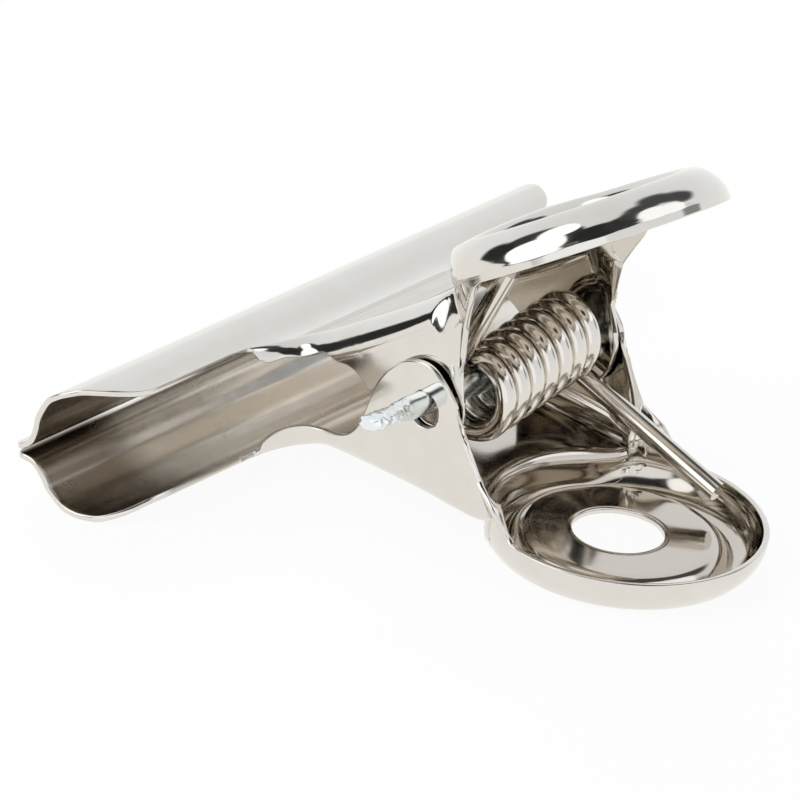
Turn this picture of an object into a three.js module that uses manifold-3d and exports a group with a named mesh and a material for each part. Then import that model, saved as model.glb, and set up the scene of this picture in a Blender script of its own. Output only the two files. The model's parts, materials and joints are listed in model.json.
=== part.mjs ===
import * as THREE from 'three';
import { mergeVertices } from 'three/addons/utils/BufferGeometryUtils.js';
import Module from 'manifold-3d';

// A spring file clip: two stamped steel halves, a torsion spring and the pin that they turn on.
// Each half is drawn in its own frame, with the pivot at the origin: x across the jaw,
// y from the pivot towards the mouth, z from the middle plane out to the half's outer face.
// Sizes are in millimetres and angles in degrees.

// Sheet and jaw
const sheet = 0.6;
const jawWidth = 73;
const jawDepth = 13;
const jawBackCorner = 7.5;
const jawFrontCorner = 0.8;
const lipGap = 0.24;
const mouthToPivot = 32.3;

// Outer face of the jaw and of the neck behind it, as distance from the mouth and height
// over the lip: the lip land, the steep front, the crown, the dip behind it, the neck's slope.
const outerFace = [
  [0.0, 0.0], [1.0, 0.18], [2.0, 0.68], [2.7, 1.78], [3.3, 3.08], [4.8, 4.78], [6.3, 5.48],
  [7.6, 5.78], [9.0, 5.92], [11.0, 5.53], [13.0, 4.73], [14.6, 4.48], [16.5, 4.63], [19.0, 5.18],
  [25.5, 7.15], [30.1, 8.68], [34.8, 10.45], [44.0, 13.48],
];

// Neck: a channel whose sides carry the ears
const lowerNeckHalf = 13.4;
const earClearance = 0.35;
const bendRadius = 3;
const flareRadius = 6;
const waistHalfLoss = 0.9;
const pivotToWaist = 4.3;
const waistLength = 2.4;
const neckOverlap = 0.4;
const pivotToNeckEnd = 8.7;

// Free edge of the neck's sides and ears, as distance behind the pivot and height over the
// middle plane: the low flange, the front of the ear, its lobe, its rear edge and the notch.
const flangeStart = 11;
const flangeHeight = 3.6;
const flangeFront = [[-11.1, flangeHeight], [-9.7, 3.3], [-8.3, 2.2], [-7.3, 0.9], [-6.8, -0.3]];
const earLobe = [[-5.5, -2.0], [-3.9, -3.5], [-2.2, -4.45], [-0.3, -4.85], [1.5, -4.3], [2.9, -2.8]];
const earRear = [[4.0, -0.7], [4.2, 0.5], [3.5, 1.6], [3.5, 4.8], [3.7, 6.3], [4.6, 7.6], [5.5, 9.0], [6.9, 11.4]];
const pivotToRim = 8;

// Handle: a shallow round dish with a hole
const handleTilt = 17.1;
const pivotToHole = 15.14;
const holeRadius = 4.6;
const rimRadius = 14.1;
const rimSetBack = 0.5;
const rimHeight = 3.98;
const stepRadius = 13.2;
const discLift = 1.62;
const discRadius = 9.0;

// Outer face of the dish from the raised disc out to the wall, as share of the way and height
// over the ring that it stands on: towards the rim, and towards the steep step at the neck.
const rimFace = [
  [0.0, discLift], [0.1, 1.5], [0.2, 1.05], [0.3, 0.4], [0.38, 0.08], [0.46, 0.0], [0.6, 0.22],
  [0.76, 0.8], [0.9, 1.75], [0.97, 2.6], [1.0, 3.3],
];
const stepFace = [
  [0.0, discLift], [0.12, 1.5], [0.24, 1.05], [0.36, 0.4], [0.47, 0.08], [0.6, 0.0], [0.74, 0.03],
  [0.86, 0.18], [0.94, 0.5], [0.985, 0.9], [1.0, 1.4],
];

// Pin
const pinRadius = 1.2;
const earHoleRadius = 1.9;
const pinNearReach = 8.6;
const pinFarReach = 1.5;
const pinheadRadius = 2.3;
const pinheadLength = 1.2;
const pinheadGap = 0.3;
const crimpStart = 1.5;
const crimpLength = 6.7;
const crimpHalfWidth = 1.55;
const crimpHalfThickness = 0.75;
const pinSlant = 2.5;

// Spring
const wireDiameter = 1.85;
const coilOuterDiameter = 8.7;
const coilCurls = 7;
const coilPitch = 2.27;
const coilLean = 4.5;
const coilShift = 1.3;
const coilSetBack = 0.4;
const lowerLegLength = 21.5;
const upperLegLength = 15;
const legClearance = 0.25;
const curlSteps = 8;
const wireSides = 5;

const reach = mouthToPivot + pivotToHole + 2 * rimRadius;
const tilt = THREE.MathUtils.degToRad(handleTilt);
const waistStart = mouthToPivot + pivotToWaist;

// Solids are joined and cut as closed meshes with merged vertices.
const wasm = await Module();
wasm.setup();

function solid(geometry) {
  const bare = geometry.clone();
  bare.deleteAttribute('normal');
  bare.deleteAttribute('uv');
  const merged = mergeVertices(bare, 1e-5);
  return new wasm.Manifold(new wasm.Mesh({
    numProp: 3,
    vertProperties: new Float32Array(merged.attributes.position.array),
    triVerts: new Uint32Array(merged.index.array),
  }));
}

function geometryOf(manifold) {
  const mesh = manifold.getMesh();
  const geometry = new THREE.BufferGeometry();
  geometry.setAttribute('position', new THREE.BufferAttribute(new Float32Array(mesh.vertProperties), 3));
  geometry.setIndex(new THREE.BufferAttribute(new Uint32Array(mesh.triVerts), 1));
  return geometry;
}

// A closed outline in distance from the mouth and height, carried across the jaw.
function acrossJaw(outline, halfWidth) {
  const shape = new THREE.Shape(outline.map(([out, up]) => new THREE.Vector2(mouthToPivot - out, up)));
  const geometry = new THREE.ExtrudeGeometry(shape, { depth: 2 * halfWidth, bevelEnabled: false });
  geometry.translate(0, 0, -halfWidth);
  const turn = new THREE.Matrix4().makeBasis(
    new THREE.Vector3(0, 1, 0),
    new THREE.Vector3(0, 0, 1),
    new THREE.Vector3(1, 0, 0),
  );
  return geometry.applyMatrix4(turn);
}

// Closed rings of equal count, joined in order, with a flat fan over each end.
function loft(rings) {
  const count = rings[0].length;
  const positions = rings.flat().flatMap((p) => [p.x, p.y, p.z]);
  const index = [];
  for (let i = 0; i < rings.length - 1; i += 1) {
    for (let j = 0; j < count; j += 1) {
      const a = i * count + j;
      const b = i * count + ((j + 1) % count);
      index.push(a, b, b + count, a, b + count, a + count);
    }
  }
  const last = (rings.length - 1) * count;
  for (let j = 1; j < count - 1; j += 1) {
    index.push(0, j + 1, j);
    index.push(last, last + j, last + j + 1);
  }
  const geometry = new THREE.BufferGeometry();
  geometry.setAttribute('position', new THREE.Float32BufferAttribute(positions, 3));
  geometry.setIndex(facingOut(rings.flat(), index));
  return geometry;
}

// The triangles, turned over if they enclose a negative volume.
function facingOut(corners, index) {
  let volume = 0;
  for (let i = 0; i < index.length; i += 3) {
    const [a, b, c] = [corners[index[i]], corners[index[i + 1]], corners[index[i + 2]]];
    volume += a.dot(b.clone().cross(c));
  }
  return volume > 0 ? index : index.toReversed();
}

// Outer face as a smooth curve of distance from the mouth and height over the middle plane.
const lipTop = lipGap / 2 + sheet;
const faceCurve = new THREE.SplineCurve(outerFace.map(([out, up]) => new THREE.Vector2(out, up + lipTop)));
const faceSteps = 68;
const facePoints = faceCurve.getPoints(faceSteps);

function faceHeight(out) {
  const next = facePoints.findIndex((p) => p.x >= out);
  const a = facePoints[Math.max(next - 1, 0)];
  const b = facePoints[Math.max(next, 1)];
  return a.y + ((out - a.x) / (b.x - a.x)) * (b.y - a.y);
}

function faceSlope(out) {
  return (faceHeight(out + 0.3) - faceHeight(out - 0.3)) / 0.6;
}

// The crown of the jaw and the floor of the dish stand on one plane.
const standLevel = Math.max(...facePoints.filter((p) => p.x < jawDepth)
  .map((p) => p.y * Math.cos(tilt) - p.x * Math.sin(tilt)));
const pivotHeight = standLevel + mouthToPivot * Math.sin(tilt);

// Directions of the handle in a half's frame: towards the mouth along it, and out of it.
const alongHandle = new THREE.Vector3(0, Math.cos(tilt), -Math.sin(tilt));
const outOfHandle = new THREE.Vector3(0, Math.sin(tilt), Math.cos(tilt));

function onHandle(x, towardsMouth, inward) {
  return new THREE.Vector3(x, 0, 0)
    .addScaledVector(alongHandle, towardsMouth)
    .addScaledVector(outOfHandle, pivotHeight - inward);
}

// Everything under the jaw's face, drawn in by the inset.
function jawBlock(inset, overrun) {
  const face = [];
  facePoints.forEach((p, i) => {
    if (p.x > jawDepth + 0.8) return;
    const before = facePoints[Math.max(i - 1, 0)];
    const after = facePoints[i + 1];
    const along = after.clone().sub(before).normalize();
    face.push([p.x + inset * along.y, p.y - inset * along.x]);
  });
  const kept = face.filter(([out]) => out > 0 && out < jawDepth + overrun);
  const front = [-overrun, faceHeight(0) - inset];
  const backHeight = faceHeight(jawDepth) - inset * Math.hypot(1, faceSlope(jawDepth));
  const outline = [
    front,
    ...kept.filter(([out]) => out < jawDepth),
    [jawDepth + overrun, backHeight],
    [jawDepth + overrun, -reach / 2],
    [-overrun, -reach / 2],
  ];
  return acrossJaw(outline, jawWidth / 2 + overrun);
}

// Seen from above, the jaw is a long plate with round corners.
function jawPlan() {
  const half = jawWidth / 2;
  const front = mouthToPivot;
  const back = mouthToPivot - jawDepth;
  const shape = new THREE.Shape();
  shape.moveTo(-half + jawBackCorner, back);
  shape.lineTo(half - jawBackCorner, back);
  shape.absarc(half - jawBackCorner, back + jawBackCorner, jawBackCorner, -Math.PI / 2, 0);
  shape.lineTo(half, front - jawFrontCorner);
  shape.absarc(half - jawFrontCorner, front - jawFrontCorner, jawFrontCorner, 0, Math.PI / 2);
  shape.lineTo(-half + jawFrontCorner, front);
  shape.absarc(-half + jawFrontCorner, front - jawFrontCorner, jawFrontCorner, Math.PI / 2, Math.PI);
  shape.lineTo(-half, back + jawBackCorner);
  shape.absarc(-half + jawBackCorner, back + jawBackCorner, jawBackCorner, Math.PI, 1.5 * Math.PI);
  const geometry = new THREE.ExtrudeGeometry(shape, { depth: reach, bevelEnabled: false, curveSegments: 8 });
  return geometry.translate(0, 0, -reach / 2);
}

// Half width of the neck: it flares into the jaw in a quarter round and has a waist at the dish.
function neckHalfAt(out, neckHalf) {
  const intoFlare = Math.min(Math.max(flareRadius - (out - jawDepth), 0), flareRadius);
  const flare = flareRadius - Math.sqrt(flareRadius ** 2 - intoFlare ** 2);
  const waist = THREE.MathUtils.smoothstep(out, waistStart, waistStart + waistLength) * waistHalfLoss;
  return neckHalf + flare - waist;
}

// Everything under the neck's channel, drawn in by the inset.
function neckBlock(neckHalf, inset, overrun) {
  const stations = [jawDepth - neckOverlap, jawDepth];
  const flareStations = 8;
  for (let i = 1; i <= flareStations; i += 1) {
    const swing = (i / flareStations) * Math.PI / 2;
    stations.push(jawDepth + flareRadius * (1 - Math.cos(swing)));
  }
  const slopeStations = 6;
  for (let i = 1; i <= slopeStations; i += 1) {
    stations.push(jawDepth + flareRadius + (i / slopeStations) * (waistStart - jawDepth - flareRadius));
  }
  const waistStations = 4;
  for (let i = 1; i <= waistStations; i += 1) {
    stations.push(waistStart + (i / waistStations) * waistLength);
  }
  stations.push(mouthToPivot + pivotToNeckEnd);
  stations[0] -= overrun;
  stations[stations.length - 1] += overrun;
  const cornerSteps = 5;
  const rings = stations.map((out) => {
    const slope = faceSlope(out);
    const half = neckHalfAt(out, neckHalf) - inset;
    const top = faceHeight(out) - inset * Math.hypot(1, slope);
    const radius = bendRadius - inset;
    const ring = [new THREE.Vector3(half, mouthToPivot - out, -reach / 2)];
    [1, -1].forEach((side) => {
      for (let k = 0; k <= cornerSteps; k += 1) {
        const step = side > 0 ? k : cornerSteps - k;
        const swing = (step / cornerSteps) * Math.PI / 2;
        const x = side * (half - radius + radius * Math.cos(swing));
        ring.push(new THREE.Vector3(x, mouthToPivot - out, top - radius + radius * Math.sin(swing)));
      }
    });
    ring.push(new THREE.Vector3(-half, mouthToPivot - out, -reach / 2));
    return ring;
  });
  return loft(rings);
}

// Everything inside the dish, drawn in by the inset: a raised disc round the hole, the ring
// that the handle stands on, and a wall that is the wide rim round the free side and a steep
// step at the neck.
function dishBlock(inset, top) {
  const turns = 56;
  const columns = [];
  for (let j = 0; j < turns; j += 1) {
    const angle = (j / turns) * 2 * Math.PI;
    const fromFreeEnd = Math.abs(THREE.MathUtils.radToDeg(angle) - 180);
    const toStep = THREE.MathUtils.smoothstep(fromFreeEnd, 108, 140);
    const wallRadius = THREE.MathUtils.lerp(rimRadius, stepRadius, toStep);
    const section = rimFace.map(([rimShare, rimUp], i) => {
      const share = THREE.MathUtils.lerp(rimShare, stepFace[i][0], toStep);
      const up = THREE.MathUtils.lerp(rimUp, stepFace[i][1], toStep);
      return new THREE.Vector2(THREE.MathUtils.lerp(discRadius, wallRadius, share), up);
    });
    columns.push(drawnIn(section, inset).map((p, i) => {
      const setBack = rimSetBack * rimFace[i][0];
      const x = p.x * Math.sin(angle);
      return onHandle(-x, p.x * Math.cos(angle) - pivotToHole - setBack, p.y);
    }));
    const wall = new THREE.Vector2(wallRadius - inset, top);
    const x = wall.x * Math.sin(angle);
    columns.at(-1).push(onHandle(-x, wall.x * Math.cos(angle) - pivotToHole - rimSetBack, wall.y));
  }
  return loft(columns[0].map((_, k) => columns.map((column) => column[k])));
}

// An open outline that starts level and ends upright, each point moved in along its normal.
function drawnIn(outline, inset) {
  const last = outline.length - 1;
  return outline.map((p, i) => {
    if (i === 0) return new THREE.Vector2(p.x, p.y + inset);
    if (i === last) return new THREE.Vector2(p.x - inset, p.y);
    const along = outline[i + 1].clone().sub(outline[i - 1]).normalize();
    return new THREE.Vector2(p.x - inset * along.y, p.y + inset * along.x);
  });
}

// The side view of neck, ears and dish: what lies past the free edge is cut away.
function sideOutline() {
  const rimEdge = (out) => {
    const level = standLevel - rimHeight;
    return (level + out * Math.sin(tilt)) / Math.cos(tilt);
  };
  const lobe = new THREE.SplineCurve([flangeFront.at(-1), ...earLobe, earRear[0]]
    .map(([behind, up]) => new THREE.Vector2(behind, up))).getPoints(16).map((p) => [p.x, p.y]);
  const ear = [...flangeFront.slice(0, -1), ...lobe, ...earRear.slice(1)]
    .map(([behind, up]) => [mouthToPivot + behind, up]);
  const rimStart = mouthToPivot + pivotToRim;
  return [
    [flangeStart, flangeHeight],
    ...ear,
    [rimStart, rimEdge(rimStart)],
    [reach, rimEdge(reach)],
    [reach, reach],
    [flangeStart, reach],
  ];
}

function cylinderBetween(from, to, radius, sides) {
  const along = to.clone().sub(from);
  const geometry = new THREE.CylinderGeometry(radius, radius, along.length(), sides);
  const turn = new THREE.Quaternion().setFromUnitVectors(new THREE.Vector3(0, 1, 0), along.clone().normalize());
  return geometry.applyQuaternion(turn).translate(...from.clone().add(to).multiplyScalar(0.5).toArray());
}

// One stamped half, as an upper half: its outer face is up.
function stampedHalf(neckHalf) {
  const overrun = 0.4;
  const jawInside = solid(jawBlock(sheet, overrun));
  const jaw = solid(jawBlock(0, 0)).intersect(solid(jawPlan())).subtract(jawInside);
  const dishTop = rimHeight + sheet;
  const dishClear = pivotHeight;
  const shell = solid(neckBlock(neckHalf, 0, 0))
    .add(solid(dishBlock(0, dishTop)))
    .subtract(solid(neckBlock(neckHalf, sheet, overrun)))
    .subtract(solid(dishBlock(sheet, dishClear)))
    .subtract(jawInside)
    .intersect(solid(acrossJaw(sideOutline(), jawWidth / 2)));
  const handleHole = cylinderBetween(
    onHandle(0, -pivotToHole, 0),
    onHandle(0, -pivotToHole, discLift + 2 * sheet),
    holeRadius,
    40,
  );
  const earHoles = cylinderBetween(
    new THREE.Vector3(-jawWidth / 2, 0, 0),
    new THREE.Vector3(jawWidth / 2, 0, 0),
    earHoleRadius,
    24,
  );
  return geometryOf(jaw.add(shell).subtract(solid(handleHole)).subtract(solid(earHoles)));
}

// The same half turned over: its outer face is down.
function turnedOver(geometry) {
  const mirrored = geometry.clone().scale(1, 1, -1);
  const index = mirrored.index.array;
  for (let i = 0; i < index.length; i += 3) {
    [index[i], index[i + 1]] = [index[i + 1], index[i]];
  }
  return mirrored;
}

// The pin: a round wire, flattened to a wedge with two small wings near one end and
// peened over at the other. It lies a little slanted in its oversize holes.
function pivotPin() {
  const nearEar = -lowerNeckHalf;
  const tipX = nearEar - pinNearReach;
  const crimpX = nearEar - crimpStart;
  const sides = 16;
  const section = (x, halfWidth, halfThickness) => {
    const ring = [];
    for (let j = 0; j < sides; j += 1) {
      const angle = (j / sides) * 2 * Math.PI;
      ring.push(new THREE.Vector3(x, halfWidth * Math.cos(angle), halfThickness * Math.sin(angle)));
    }
    return ring;
  };
  return loft([
    section(tipX, 0.75 * pinRadius, 0.75 * pinRadius),
    section(tipX + 0.5, pinRadius, 0.9 * pinRadius),
    section(crimpX - crimpLength + 0.6, crimpHalfWidth, crimpHalfThickness),
    section(crimpX - 0.55 * crimpLength, crimpHalfWidth, crimpHalfThickness),
    section(crimpX, pinRadius, pinRadius),
    section(lowerNeckHalf + pinheadGap, pinRadius, pinRadius),
    section(lowerNeckHalf + pinheadGap + 0.1, pinheadRadius, pinheadRadius),
    section(lowerNeckHalf + pinheadGap + pinheadLength, 0.8 * pinheadRadius, 0.8 * pinheadRadius),
    section(lowerNeckHalf + pinheadGap + pinFarReach, 0.4 * pinheadRadius, 0.4 * pinheadRadius),
  ]).rotateY(THREE.MathUtils.degToRad(pinSlant));
}

// The spring's centre line, in the clip's frame with the middle plane level: a straight leg
// onto the upper handle, close curls about a leaning axis, a straight leg onto the lower one.
const wireRadius = wireDiameter / 2;
const coilRadius = coilOuterDiameter / 2 - wireRadius;

// The lean takes each end of the coil away from the handle that its leg rests on.
function legAngle(length) {
  const leanLift = Math.sin(THREE.MathUtils.degToRad(coilLean)) * coilCurls * coilPitch / 2;
  const drop = pivotHeight - discLift - sheet - wireRadius - legClearance + leanLift;
  const fromHandle = Math.asin(drop / Math.hypot(length, coilRadius)) - Math.atan(coilRadius / length);
  return fromHandle + tilt;
}

function springPath() {
  const upperAngle = legAngle(upperLegLength);
  const lowerAngle = legAngle(lowerLegLength);
  const startAngle = Math.PI / 2 - upperAngle;
  const endAngle = lowerAngle - Math.PI / 2 - 2 * Math.PI * coilCurls;
  const steps = Math.ceil(((startAngle - endAngle) / (2 * Math.PI)) * curlSteps);
  const length = (coilPitch * (startAngle - endAngle)) / (2 * Math.PI);
  const points = [];
  const upperTip = new THREE.Vector3(
    -length / 2,
    coilRadius * Math.cos(startAngle) - upperLegLength * Math.cos(upperAngle),
    coilRadius * Math.sin(startAngle) + upperLegLength * Math.sin(upperAngle),
  );
  const lowerTip = new THREE.Vector3(
    length / 2,
    coilRadius * Math.cos(endAngle) - lowerLegLength * Math.cos(lowerAngle),
    coilRadius * Math.sin(endAngle) - lowerLegLength * Math.sin(lowerAngle),
  );
  points.push(upperTip);
  for (let i = 0; i <= steps; i += 1) {
    const share = i / steps;
    const angle = THREE.MathUtils.lerp(startAngle, endAngle, share);
    points.push(new THREE.Vector3(
      THREE.MathUtils.lerp(-length / 2, length / 2, share),
      coilRadius * Math.cos(angle),
      coilRadius * Math.sin(angle),
    ));
  }
  points.push(lowerTip);
  const lean = new THREE.Matrix4().makeRotationY(-THREE.MathUtils.degToRad(coilLean));
  return points.map((p) => p.applyMatrix4(lean).add(new THREE.Vector3(coilShift, -coilSetBack, 0)));
}

// A tube round the centre line, each ring square to the path there.
function springTube(path) {
  const rings = path.map((p, i) => {
    const before = path[Math.max(i - 1, 0)];
    const after = path[Math.min(i + 1, path.length - 1)];
    const along = after.clone().sub(before).normalize();
    const across = new THREE.Vector3(1, 0, 0).addScaledVector(along, -along.x).normalize();
    const square = new THREE.Vector3().crossVectors(along, across);
    const ring = [];
    for (let j = 0; j < wireSides; j += 1) {
      const angle = (j / wireSides) * 2 * Math.PI;
      ring.push(p.clone()
        .addScaledVector(across, wireRadius * Math.cos(angle))
        .addScaledVector(square, wireRadius * Math.sin(angle)));
    }
    return ring;
  });
  const last = path.length - 1;
  const bodyGap = (a, b) => {
    let least = Infinity;
    rings[a].forEach((p) => rings[b].forEach((q) => { least = Math.min(least, p.distanceTo(q)); }));
    return least;
  };
  let least = Infinity;
  for (let i = 1; i < last - curlSteps; i += 1) {
    for (let j = i + curlSteps - 2; j < Math.min(i + curlSteps + 3, last); j += 1) {
      least = Math.min(least, bodyGap(i, j));
    }
  }
  console.log(`spring: least gap between neighbouring curls ${least.toFixed(2)} mm`);
  return loft(rings);
}

const nickel = { metalness: 1, roughness: 0.12 };
const lowerMaterial = new THREE.MeshStandardMaterial({ color: 0xd9d7d1, ...nickel });
const upperMaterial = new THREE.MeshStandardMaterial({ color: 0xdcdad4, ...nickel });
const springMaterial = new THREE.MeshStandardMaterial({ color: 0xc9c5bc, metalness: 1, roughness: 0.2 });
const pinMaterial = new THREE.MeshStandardMaterial({ color: 0xa9afb5, metalness: 1, roughness: 0.35 });

function named(name, geometry, material) {
  const mesh = new THREE.Mesh(geometry, material);
  mesh.name = name;
  return mesh;
}

// The clip lies on its lower half: the lower dish and the crown of the lower jaw are down.
const clip = new THREE.Group();
clip.add(named('lower_plate', turnedOver(stampedHalf(lowerNeckHalf)), lowerMaterial));
clip.add(named('upper_plate', stampedHalf(lowerNeckHalf - sheet - earClearance), upperMaterial));
clip.add(named('torsion_spring', springTube(springPath()), springMaterial));
clip.add(named('pivot_pin', pivotPin(), pinMaterial));
clip.rotation.x = -tilt;
clip.updateMatrixWorld(true);
const lying = new THREE.Box3().setFromObject(clip, true);
clip.position.set(-(lying.min.x + lying.max.x) / 2, -(lying.min.y + lying.max.y) / 2, -lying.min.z);

const part = new THREE.Group();
part.add(clip);
part.updateMatrixWorld(true);

export default part;
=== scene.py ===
import json

import bmesh
import bpy
import numpy as np
from mathutils import Matrix, Vector


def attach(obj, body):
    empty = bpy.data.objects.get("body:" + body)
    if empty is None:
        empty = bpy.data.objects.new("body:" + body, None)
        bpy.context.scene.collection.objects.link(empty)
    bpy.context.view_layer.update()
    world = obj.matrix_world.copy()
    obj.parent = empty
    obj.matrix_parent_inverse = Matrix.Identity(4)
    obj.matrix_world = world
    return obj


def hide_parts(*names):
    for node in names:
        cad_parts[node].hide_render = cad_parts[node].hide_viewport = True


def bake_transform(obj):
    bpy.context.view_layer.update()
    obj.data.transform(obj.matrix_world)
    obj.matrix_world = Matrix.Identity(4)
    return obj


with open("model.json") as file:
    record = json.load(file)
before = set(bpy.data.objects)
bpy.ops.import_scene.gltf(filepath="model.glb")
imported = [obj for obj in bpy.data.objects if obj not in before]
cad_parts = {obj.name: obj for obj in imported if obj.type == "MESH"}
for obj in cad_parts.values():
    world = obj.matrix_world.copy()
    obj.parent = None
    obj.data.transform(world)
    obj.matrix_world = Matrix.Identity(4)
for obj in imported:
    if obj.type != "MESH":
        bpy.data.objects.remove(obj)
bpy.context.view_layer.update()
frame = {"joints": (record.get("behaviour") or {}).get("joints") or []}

# Camera, table and studio: the clip lies on a pale table in a bright, soft studio. It is seen from
# the near left, 27 degrees above the table and a little under a metre away.
MM = 0.001
pivot = np.array(frame["joints"][0]["pos_m"])
view_right = Vector((0.6253, -0.7726, 0.1102)).normalized()
view_up = Vector((0.2917, 0.3623, 0.8852))
view_up = (view_up - view_right * view_up.dot(view_right)).normalized()
view_back = view_right.cross(view_up)
camera_distance = 934 * MM
frame_width = 77.43 * MM
sensor_width = 36.0
aim_left, aim_down = 10.62, 2.96

camera_data = bpy.data.cameras.new("camera")
camera_data.lens = sensor_width * camera_distance / frame_width
camera_data.sensor_width = sensor_width
camera = bpy.data.objects.new("camera", camera_data)
bpy.context.scene.collection.objects.link(camera)
aim = Vector(pivot) - view_right * aim_left * MM - view_up * aim_down * MM
turn = Matrix((view_right, view_up, view_back)).transposed().to_4x4()
camera.matrix_world = Matrix.Translation(aim + view_back * camera_distance) @ turn
bpy.context.scene.camera = camera
bpy.context.scene.view_settings.view_transform = "Standard"


def grid_faces(rows, columns, closed=False):
    """Quads of a grid of points stored row by row; closed joins the last column to the first."""
    r = np.arange(rows - 1)[:, None]
    c = np.arange(columns if closed else columns - 1)[None, :]
    n = (c + 1) % columns
    a = r * columns + c
    b = r * columns + n
    return np.stack([a, b, b + columns, a + columns], axis=-1).reshape(-1, 4)


def mesh_object(name, points, faces):
    """A mesh object at the origin from points in metres and a list of face index arrays."""
    mesh = bpy.data.meshes.new(name)
    mesh.from_pydata(points.tolist(), [], [face for block in faces for face in block.tolist()])
    mesh.update()
    piece = bpy.data.objects.new(name, mesh)
    bpy.context.scene.collection.objects.link(piece)
    return piece


table_half = 600 * MM
table_glow_share = 0.92
table = mesh_object(
    "table",
    np.array([[-1, -1, 0], [1, -1, 0], [1, 1, 0], [-1, 1, 0]]) * table_half,
    [np.array([[0, 1, 2, 3]])],
)
table_paint = bpy.data.materials.new("table_paint")
table_paint.use_nodes = True
nodes, links = table_paint.node_tree.nodes, table_paint.node_tree.links
nodes.clear()
out = nodes.new("ShaderNodeOutputMaterial")
chalk = nodes.new("ShaderNodeBsdfDiffuse")
chalk.inputs["Color"].default_value = (0.86, 0.86, 0.86, 1)
glow = nodes.new("ShaderNodeEmission")
glow.inputs["Color"].default_value = (1, 1, 1, 1)
ray = nodes.new("ShaderNodeLightPath")
from_camera = nodes.new("ShaderNodeMath")
from_camera.operation = "MULTIPLY"
from_camera.inputs[1].default_value = table_glow_share
share = nodes.new("ShaderNodeMath")
share.operation = "MAXIMUM"
blend = nodes.new("ShaderNodeMixShader")
links.new(ray.outputs["Is Camera Ray"], from_camera.inputs[0])
links.new(from_camera.outputs[0], share.inputs[0])
links.new(ray.outputs["Is Glossy Ray"], share.inputs[1])
links.new(share.outputs[0], blend.inputs["Fac"])
links.new(chalk.outputs[0], blend.inputs[1])
links.new(glow.outputs[0], blend.inputs[2])
links.new(blend.outputs[0], out.inputs["Surface"])
table.data.materials.append(table_paint)

# The studio round it is white, a little greyer overhead, and plain white to the camera.
world = bpy.data.worlds.new("studio")
bpy.context.scene.world = world
world.use_nodes = True
nodes, links = world.node_tree.nodes, world.node_tree.links
nodes.clear()
out = nodes.new("ShaderNodeOutputWorld")
room = nodes.new("ShaderNodeBackground")
backdrop = nodes.new("ShaderNodeBackground")
backdrop.inputs["Color"].default_value = (1, 1, 1, 1)
ray = nodes.new("ShaderNodeLightPath")
blend = nodes.new("ShaderNodeMixShader")
where = nodes.new("ShaderNodeTexCoord")
apart = nodes.new("ShaderNodeSeparateXYZ")
height = nodes.new("ShaderNodeValToRGB")
height.color_ramp.elements[0].position = 0.0
height.color_ramp.elements[0].color = (0.97, 1, 1.05, 1)
height.color_ramp.elements[1].position = 1.0
height.color_ramp.elements[1].color = (0.85, 0.87, 0.91, 1)
links.new(where.outputs["Generated"], apart.inputs[0])
links.new(apart.outputs["Z"], height.inputs["Fac"])
around_room = height.outputs["Color"]
# Dark gaps and bright soft boxes, painted one over the other. In degrees: azimuth and height of
# the middle, radius of the even part and of the edge. Last comes the brightness.
for azimuth, above, even, edge, level in (
    (150, 28, 35, 40, 0.05), (116, 10, 12, 17, 0.03), (205, 54, 17, 21, 0.03),
    (240, 64, 13, 17, 0.04), (280, 74, 10, 15, 0.06), (325, 76, 10, 15, 0.08),
    (0, 62, 10, 16, 0.08), (-10, 48, 10, 17, 0.08), (-40, 24, 8, 13, 0.3),
    (207, 12, 24, 28, 1.15), (153, 25, 24, 26, 1.5), (134, 51, 13, 15, 1.5),
    (-66, 58, 13, 15, 1.35), (-44, 47, 10, 13, 1.35),
):
    a, e = np.radians(azimuth), np.radians(above)
    facing = nodes.new("ShaderNodeVectorMath")
    facing.operation = "DOT_PRODUCT"
    facing.inputs[1].default_value = (np.cos(e) * np.cos(a), np.cos(e) * np.sin(a), np.sin(e))
    patch = nodes.new("ShaderNodeMapRange")
    patch.interpolation_type = "SMOOTHSTEP"
    patch.inputs["From Min"].default_value = np.cos(np.radians(edge))
    patch.inputs["From Max"].default_value = np.cos(np.radians(even))
    painted = nodes.new("ShaderNodeMix")
    painted.data_type = "RGBA"
    painted.inputs[7].default_value = (0.97 * level, level, 1.05 * level, 1)
    links.new(where.outputs["Generated"], facing.inputs[0])
    links.new(facing.outputs["Value"], patch.inputs["Value"])
    links.new(patch.outputs["Result"], painted.inputs[0])
    links.new(around_room, painted.inputs[6])
    around_room = painted.outputs[2]
links.new(around_room, room.inputs["Color"])
links.new(ray.outputs["Is Camera Ray"], blend.inputs["Fac"])
links.new(room.outputs[0], blend.inputs[1])
links.new(backdrop.outputs[0], blend.inputs[2])
links.new(blend.outputs[0], out.inputs["Surface"])


def soft_box(name, place, target, width, height, power):
    """A rectangular lamp turned to a target, unseen in mirrors; in metres and watts."""
    lamp = bpy.data.lights.new(name, "AREA")
    lamp.shape = "RECTANGLE"
    lamp.size = width
    lamp.size_y = height
    lamp.energy = power
    holder = bpy.data.objects.new(name, lamp)
    bpy.context.scene.collection.objects.link(holder)
    toward = Vector(target) - Vector(place)
    holder.rotation_euler = toward.to_track_quat("-Z", "Y").to_euler()
    holder.location = place
    holder.visible_glossy = False


soft_box("lamp_left", (-0.45, 0.1, 0.4), (0, 0, 0.02), 0.3, 0.3, 1.2)
soft_box("lamp_back", (0.35, 0.45, 0.45), (0, 0, 0.02), 0.5, 0.2, 1.5)

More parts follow.
